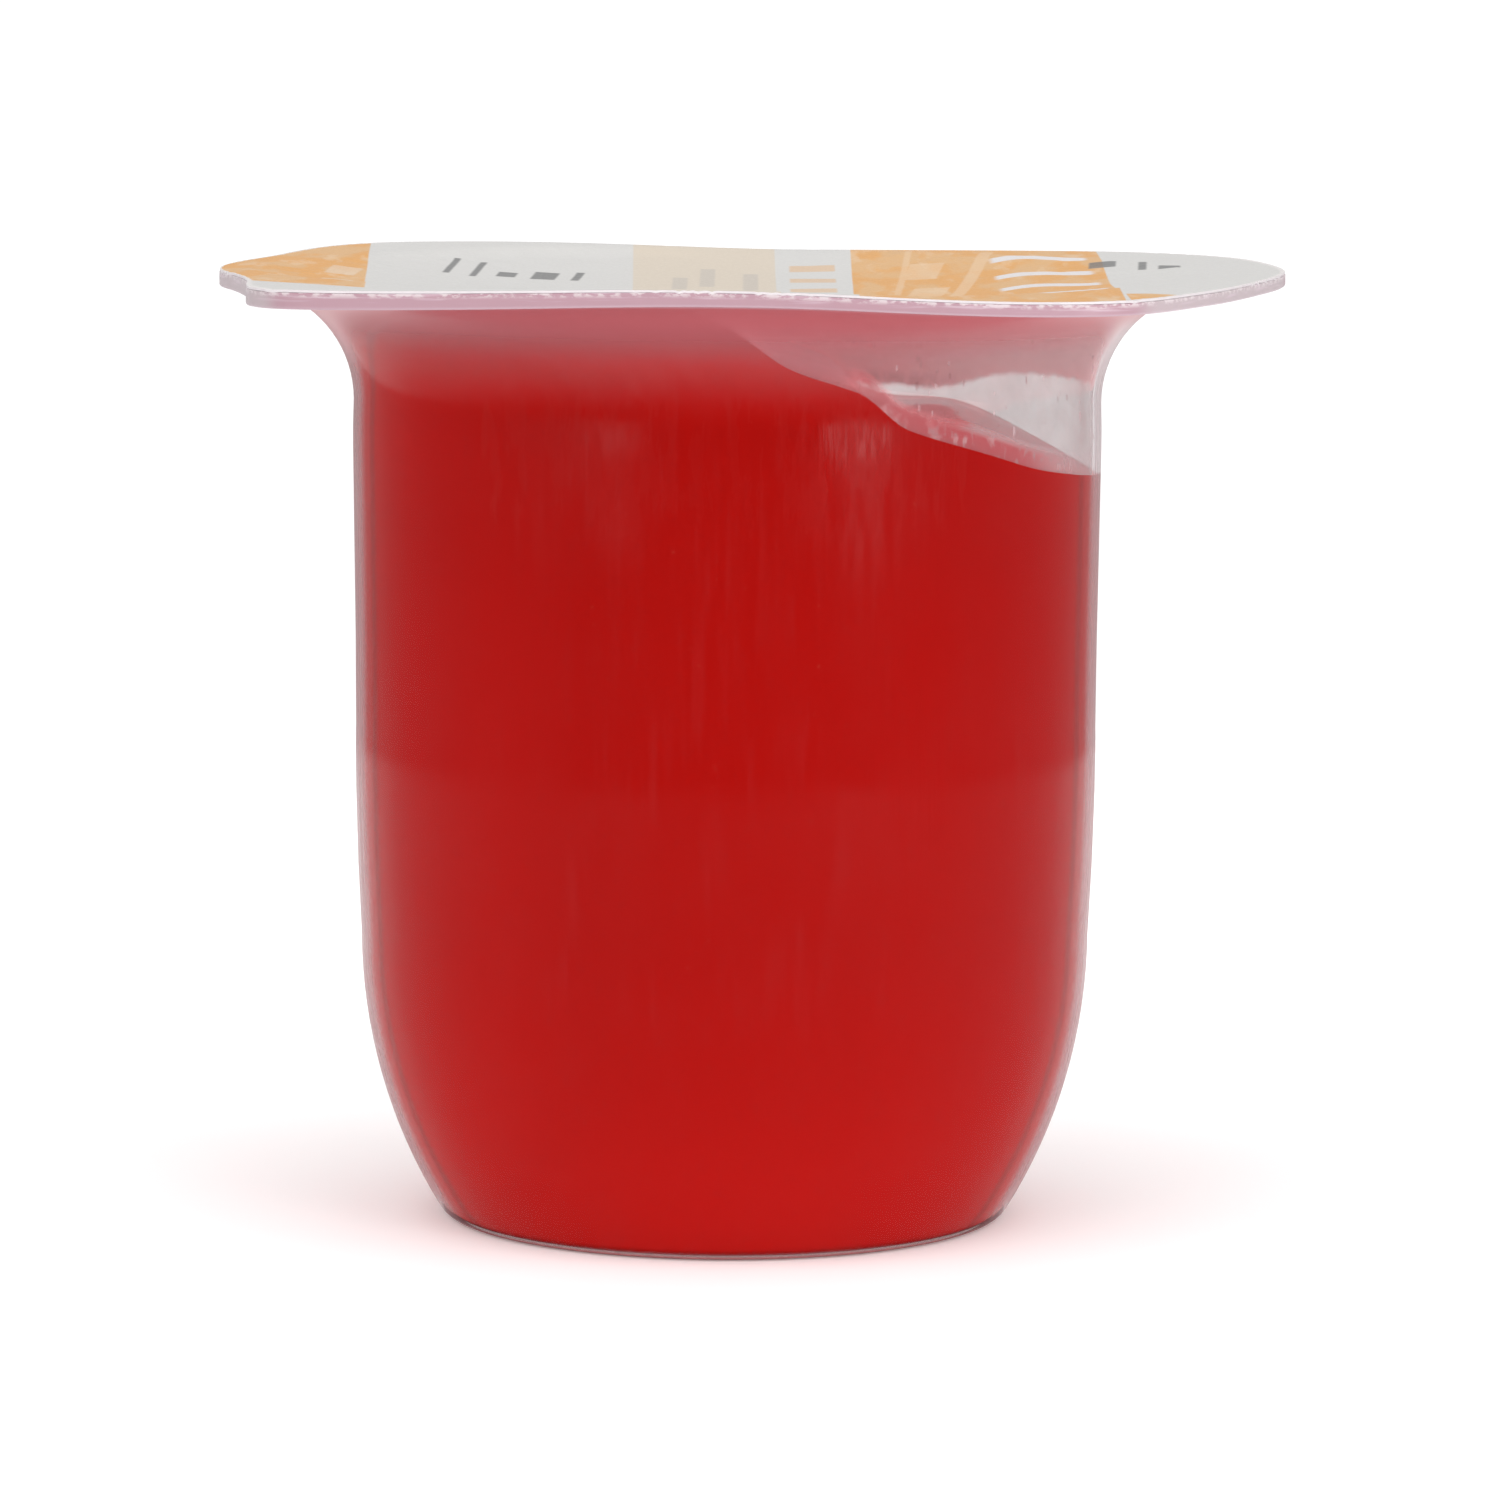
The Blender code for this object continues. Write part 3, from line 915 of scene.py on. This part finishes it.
def printed_film_material(settings):
    """Top of the film: pale ground with cream and orange fields and plain marks."""
    material, tree = new_tree("printed_film")
    place = place_mm(tree)
    parts = split(tree, place)
    deep = tuple(part * factor for part, factor in zip(settings.orange, (1.03, 0.86, 0.46)))
    pale_orange = (0.66, 0.46, 0.28)
    blotches = ramp(tree, cloud(tree, place_mm(tree, (0.35, 0.10, 1.0)), 1.0, 2.0), 0.42, 0.58)
    orange = blend_colours(tree, blotches, settings.orange, deep)
    faded = ramp(tree, cloud(tree, place_mm(tree, (0.5, 0.12, 1.0)), 1.3, 3.0), 0.55, 0.68, 0.0, 0.45)
    orange = blend_colours(tree, faded, orange, pale_orange)

    right_side = line_side(tree, parts, -25.99, -0.0424)
    in_front = ramp(tree, parts["Y"], -12.0, -18.0)
    right_side = blend_values(tree, in_front, right_side, line_side(tree, parts, -25.59, -0.0424))
    front_cut = maths(tree, "MULTIPLY_ADD", parts["X"], 1.0235, parts["Y"])
    behind = ramp(tree, front_cut, -56.4, -56.1)
    left_field = maths(tree, "MULTIPLY", maths(tree, "SUBTRACT", 1.0, right_side), behind)
    cream_field = maths(tree, "SUBTRACT", line_side(tree, parts, -6.82, -0.0165),
                        line_side(tree, parts, 3.51, -0.0033))
    right_orange = maths(tree, "SUBTRACT", line_side(tree, parts, 9.03, 0.005),
                         line_side(tree, parts, 27.31, 0.0196))
    foot = maths(tree, "MULTIPLY", line_side(tree, parts, 27.0, 0.0),
                 ramp(tree, maths(tree, "MULTIPLY_ADD", parts["X"], 0.9, parts["Y"]), -1.2, -1.7))
    foot = maths(tree, "MULTIPLY", foot, ramp(tree, parts["Y"], -27.0, -27.4))
    right_orange = maths(tree, "MAXIMUM", right_orange, foot)

    stripes = any_of(tree, [
        bar(tree, parts, 12.2, 4.0, 0.5, 60.0, 0.05),
        bar(tree, parts, 14.4, 20.0, 2.6, 9.0, 0.10),
        bar(tree, parts, 14.4, 4.0, 2.6, 9.0, 0.10),
        bar(tree, parts, 17.6, 12.0, 1.0, 40.0, 0.10),
    ])
    waves = any_of(tree, [
        wave(tree, parts, 19.6, 26.6, y, 1.6, 9.0, 3.0)
        for y in (-9.0, 2.0, 13.0, 24.0)
    ])
    light_bars = any_of(tree, [bar(tree, parts, 6.2, y, 3.4, 3.2) for y in (-8.0, 0.0, 8.0, 16.0, 24.0)])
    left_marks = any_of(tree, [
        bar(tree, parts, -28.0, -4.0, 2.2, 7.0, 0.05),
        bar(tree, parts, -28.0, 8.0, 2.2, 7.0, 0.05),
    ])
    grey_marks = any_of(tree, [
        bar(tree, parts, -3.6, 12.0, 1.1, 12.0),
        bar(tree, parts, -1.6, 18.0, 1.1, 12.0),
        bar(tree, parts, 1.6, 15.0, 1.1, 12.0),
    ])
    dark_marks = any_of(tree, [
        bar(tree, parts, x, y, width, depth, 0.06)
        for x, y, width, depth in (
            (-20.6, 19.0, 0.5, 9.0), (-18.6, 18.0, 0.5, 9.0), (-16.4, 16.0, 1.4, 3.0),
            (-13.6, 16.5, 1.8, 5.0), (-11.2, 17.0, 0.6, 6.0), (27.6, 17.0, 2.0, 4.0),
            (30.4, 14.0, 0.6, 8.0), (32.2, 11.0, 1.6, 3.0),
        )
    ])

    colour = blend_colours(tree, cream_field, settings.paper, settings.cream)
    colour = blend_colours(tree, left_field, colour, orange)
    colour = blend_colours(tree, right_orange, colour, orange)
    colour = blend_colours(tree, maths(tree, "MULTIPLY", stripes, 0.55), colour, pale_orange)
    colour = blend_colours(tree, waves, colour, (0.62, 0.59, 0.59))
    colour = blend_colours(tree, maths(tree, "MULTIPLY", light_bars, 0.6), colour, settings.orange)
    colour = blend_colours(tree, maths(tree, "MULTIPLY", left_marks, 0.5), colour, (0.64, 0.52, 0.40))
    colour = blend_colours(tree, maths(tree, "MULTIPLY", grey_marks, 0.4), colour, (0.34, 0.32, 0.31))
    colour = blend_colours(tree, maths(tree, "MULTIPLY", dark_marks, 0.85), colour, settings.ink)
    fibres = maths(tree, "MULTIPLY_ADD", cloud(tree, place, 2.2, 3.0), 1.2, -0.6)
    torn = maths(tree, "ADD", attribute(tree, "rim"), fibres)
    colour = blend_colours(tree, ramp(tree, torn, 0.35, 0.75), colour, (0.64, 0.61, 0.60))
    grain = cloud(tree, place, 3.2, 3.0)
    colour = blend_colours(tree, ramp(tree, grain, 0.35, 0.75, 0.0, 0.10), colour, (0.70, 0.70, 0.70))
    surface(tree, {
        "Base Color": colour,
        "Roughness": ramp(tree, grain, 0.3, 0.7, 0.38, 0.55),
        "Specular IOR Level": 0.4,
        "Normal": bumped(tree, grain, 0.2, 0.0001),
    })
    return material


def bare_film_material():
    """Underside and cut edge of the film."""
    material, tree = new_tree("bare_film")
    fibre = cloud(tree, place_mm(tree), 1.5, 3.0)
    surface(tree, {
        "Base Color": blend_colours(tree, fibre, (0.56, 0.50, 0.52), (0.66, 0.62, 0.63)),
        "Roughness": 0.45,
    })
    return material


def film_relief(x, y):
    """Small waves of the film inside its seal, and radial creases next to it."""
    radius = math.hypot(x, y)
    angle = math.atan2(y, x)
    inside = 1.0 - smooth_step(radius, 31.5 * MM, 34.5 * MM)
    creased = smooth_step(radius, 24.0 * MM, 31.0 * MM) * (1.0 - smooth_step(radius, 33.0 * MM, 35.5 * MM))
    swell = noise.noise(Vector((x, y, 2.0 * MM)) / (11.0 * MM))
    around = Vector((math.cos(angle), math.sin(angle), radius * 9.0)) * 26.0
    crease = noise.noise(around)
    return 0.16 * MM * swell * inside + 0.07 * MM * crease * creased


class OBJECT_OT_jelly_cup_lid(bpy.types.Operator):
    """Make the printed film lid, sagging in the mouth and torn fine along its edge"""

    bl_idname = "object.jelly_cup_lid"
    bl_label = "Add Film Lid"

    def execute(self, context):
        settings = context.scene.jelly_lid
        draw = random.Random(7)
        ring = SAG_RADIUS + 2.0 * MM
        bm = bmesh.new()
        rim_layer = bm.verts.layers.float.new("rim")
        end = start_line(bm, 0.0, FILM_TOP)
        end = draw_to(bm, end, SAG_RADIUS, FILM_TOP, FILM_RINGS)
        end = draw_to(bm, end, ring - 0.45 * MM, FILM_TOP, SEAL_RINGS - 2)
        end = draw_to(bm, end, ring, FILM_TOP, 2)
        end[rim_layer] = 1.0
        end = draw_to(bm, end, ring, FILM_UNDER, 1)
        end[rim_layer] = 1.0
        end = draw_to(bm, end, SAG_RADIUS, FILM_UNDER, 2)
        draw_to(bm, end, 0.0, FILM_UNDER, UNDER_RINGS)
        turn_about_axis(bm, FILM_STEPS)
        for face in bm.faces:
            face.material_index = 0 if face.normal.z > 0.5 else 1
        teeth = [draw.random() ** 5 for _ in range(FILM_STEPS)]
        jitter = [draw.uniform(-1.0, 1.0) for _ in range(FILM_STEPS)]
        for vertex in bm.verts:
            radius = math.hypot(vertex.co.x, vertex.co.y)
            angle = direction(vertex)
            if radius > SAG_RADIUS + 0.01 * MM:
                past = (radius - SAG_RADIUS) / (ring - SAG_RADIUS)
                stretched = SAG_RADIUS + past * (edge_radius(angle) - FILM_INSET - SAG_RADIUS)
                if past > 0.999:
                    index = round(angle * FILM_STEPS / 360.0) % FILM_STEPS
                    steep = abs(edge_radius(angle + 1.5) - edge_radius(angle - 1.5))
                    tooth = teeth[index] * (1.0 - smooth_step(steep, 0.1 * MM, 0.5 * MM))
                    stretched += (0.02 * jitter[index] + 0.12 * tooth) * MM
                    vertex.co.z -= 0.16 * tooth * MM
                vertex.co.x *= stretched / radius
                vertex.co.y *= stretched / radius
            vertex.co.z += film_relief(vertex.co.x, vertex.co.y) - film_drop(radius)
            vertex.co.z += flange_lift(radius, angle) + edge_rise(radius, angle)
        materials = [printed_film_material(settings), bare_film_material()]
        make_piece("film_lid", bm, materials, "lid")
        return {"FINISHED"}


# Drops in the air pocket


def drop_material():
    material, tree = new_tree("water_drop")
    fog = cloud(tree, place_mm(tree), 2.0, 2.0)
    surface(tree, {
        "Base Color": blend_colours(tree, fog, (0.70, 0.42, 0.45), (0.80, 0.66, 0.68)),
        "Alpha": ramp(tree, fog, 0.3, 0.7, 0.10, 0.28),
        "Roughness": 0.08,
        "IOR": 1.33,
    })
    return material


class OBJECT_OT_jelly_cup_drops(bpy.types.Operator):
    """Scatter small drops over the wall of the air pocket"""

    bl_idname = "object.jelly_cup_drops"
    bl_label = "Add Drops"

    def execute(self, context):
        cup, settings = context.scene.jelly_cup, context.scene.jelly_fill
        draw = random.Random(11)
        bm = bmesh.new()
        placed = 0
        while placed < settings.drops:
            angle = draw.uniform(-DROP_TURN, DROP_TURN)
            height = draw.uniform(*DROP_HEIGHTS) * MM
            size = draw.uniform(*DROP_SIZES) * MM
            radius = side_radius(height, cup.wall)
            x = radius * math.cos(math.radians(angle))
            y = radius * math.sin(math.radians(angle))
            if height < free_surface(x, y, settings.meniscus) + 2.0 * size:
                continue
            made = bmesh.ops.create_icosphere(bm, subdivisions=2, radius=size)
            turn = Matrix.Rotation(math.radians(angle), 4, "Z")
            shape = Matrix.Diagonal((0.45, 0.8, draw.uniform(1.0, 3.0), 1.0))
            drop_place = Matrix.Translation((x, y, height)) @ turn @ shape
            bmesh.ops.transform(bm, matrix=drop_place, verts=made["verts"])
            placed += 1
        make_piece("pocket_drops", bm, [drop_material()])
        return {"FINISHED"}


# Stage


def floor_material(settings):
    material, tree = new_tree("pale_floor")
    grain = cloud(tree, place_mm(tree), 0.02, 3.0)
    warm = tuple(min(part * 1.02, 1.0) for part in settings.floor)
    surface(tree, {
        "Base Color": blend_colours(tree, grain, settings.floor, warm),
        "Roughness": 0.7,
        "Specular IOR Level": 0.1,
        "Emission Color": (1.0, 1.0, 1.0, 1.0),
        "Emission Strength": 0.1,
    })
    return material


def add_area_light(name, place, target, width, height, power):
    """A soft oval lamp turned towards a point."""
    lamp = bpy.data.lights.new(name, "AREA")
    lamp.shape = "ELLIPSE"
    lamp.size, lamp.size_y = width, height
    lamp.energy = power
    holder = bpy.data.objects.new(name, lamp)
    holder.location = place
    holder.rotation_euler = (Vector(target) - Vector(place)).to_track_quat("-Z", "Y").to_euler()
    holder.visible_camera = False
    bpy.context.scene.collection.objects.link(holder)
    return holder


class SCENE_OT_jelly_cup_stage(bpy.types.Operator):
    """Set the pale floor, the soft light and the camera"""

    bl_idname = "scene.jelly_cup_stage"
    bl_label = "Add Stage"

    def execute(self, context):
        settings = context.scene.jelly_stage
        bm = bmesh.new()
        bmesh.ops.create_circle(bm, cap_ends=True, segments=96, radius=FLOOR_RADIUS)
        mesh = bpy.data.meshes.new("floor")
        bm.to_mesh(mesh)
        bm.free()
        mesh.materials.append(floor_material(settings))
        floor = bpy.data.objects.new("floor", mesh)
        context.scene.collection.objects.link(floor)

        world = bpy.data.worlds.new("even_light")
        world.use_nodes = True
        tree = world.node_tree
        background = tree.nodes["Background"]
        background.inputs["Color"].default_value = (1.0, 1.0, 1.0, 1.0)
        seen = add_node(tree, "ShaderNodeLightPath").outputs["Is Camera Ray"]
        strength = ramp(tree, seen, 0.0, 1.0, settings.surround, SEEN_SURROUND)
        tree.links.new(strength, background.inputs["Strength"])
        context.scene.world = world

        for name, tilt, turn, spread, strength in (
            ("overhead", 12.0, 0.0, 90.0, settings.key),
            ("fill_left", 65.0, -55.0, 60.0, settings.fill),
            ("fill_right", 65.0, 55.0, 60.0, settings.fill),
        ):
            lamp = bpy.data.lights.new(name, "SUN")
            lamp.energy = strength
            lamp.angle = math.radians(spread)
            holder = bpy.data.objects.new(name, lamp)
            holder.rotation_euler = (math.radians(tilt), 0.0, math.radians(turn))
            context.scene.collection.objects.link(holder)
        centre = STRIP_LOW + STRIP_HEIGHT / 2.0
        for name, angle, power in (
            ("strip_left", STRIP_LEFT_TURN, settings.strip_left),
            ("strip_right", STRIP_RIGHT_TURN, settings.strip_right),
        ):
            turn = math.radians(angle)
            place = (STRIP_DISTANCE * math.sin(turn), -STRIP_DISTANCE * math.cos(turn), centre)
            add_area_light(name, place, (0.0, 0.0, centre), STRIP_WIDTH, STRIP_HEIGHT, power)

        camera = bpy.data.cameras.new("camera")
        camera.sensor_width = CAMERA_SENSOR
        camera.lens = CAMERA_LENS
        holder = bpy.data.objects.new("camera", camera)
        pitch = Matrix.Rotation(math.radians(90.0 - CAMERA_DIP), 4, "X")
        roll = Matrix.Rotation(math.radians(CAMERA_ROLL), 4, "Z")
        place = Matrix.Translation(CAMERA_PLACE)
        holder.matrix_world = place @ pitch @ roll
        context.scene.collection.objects.link(holder)
        context.scene.camera = holder
        context.scene.view_settings.view_transform = "Standard"
        return {"FINISHED"}


class VIEW3D_PT_jelly_cup(bpy.types.Panel):
    """Pieces of the jelly cup and their settings"""

    bl_label = "Jelly Cup"
    bl_space_type = "VIEW_3D"
    bl_region_type = "UI"
    bl_category = "Jelly Cup"

    def draw(self, context):
        for operator in STEPS:
            self.layout.operator(operator.bl_idname)
        for name, group in GROUPS.items():
            box = self.layout.box()
            for setting in group.__annotations__:
                box.prop(getattr(context.scene, name), setting)


STEPS = (
    OBJECT_OT_jelly_cup_pot,
    OBJECT_OT_jelly_cup_fill,
    OBJECT_OT_jelly_cup_lid,
    OBJECT_OT_jelly_cup_drops,
    SCENE_OT_jelly_cup_stage,
)
GROUPS = {
    "jelly_cup": CupSettings,
    "jelly_fill": JellySettings,
    "jelly_lid": LidSettings,
    "jelly_stage": StageSettings,
}


def register():
    for group in GROUPS.values():
        bpy.utils.register_class(group)
    for operator in STEPS:
        bpy.utils.register_class(operator)
    bpy.utils.register_class(VIEW3D_PT_jelly_cup)
    for name, group in GROUPS.items():
        setattr(bpy.types.Scene, name, bpy.props.PointerProperty(type=group))


def unregister():
    for name in GROUPS:
        delattr(bpy.types.Scene, name)
    bpy.utils.unregister_class(VIEW3D_PT_jelly_cup)
    for operator in reversed(STEPS):
        bpy.utils.unregister_class(operator)
    for group in reversed(GROUPS.values()):
        bpy.utils.unregister_class(group)


def main():
    """Make every piece in order."""
    register()
    bpy.ops.object.jelly_cup_pot()
    bpy.ops.object.jelly_cup_fill()
    bpy.ops.object.jelly_cup_lid()
    bpy.ops.object.jelly_cup_drops()
    bpy.ops.scene.jelly_cup_stage()


if __name__ == "__main__":
    main()
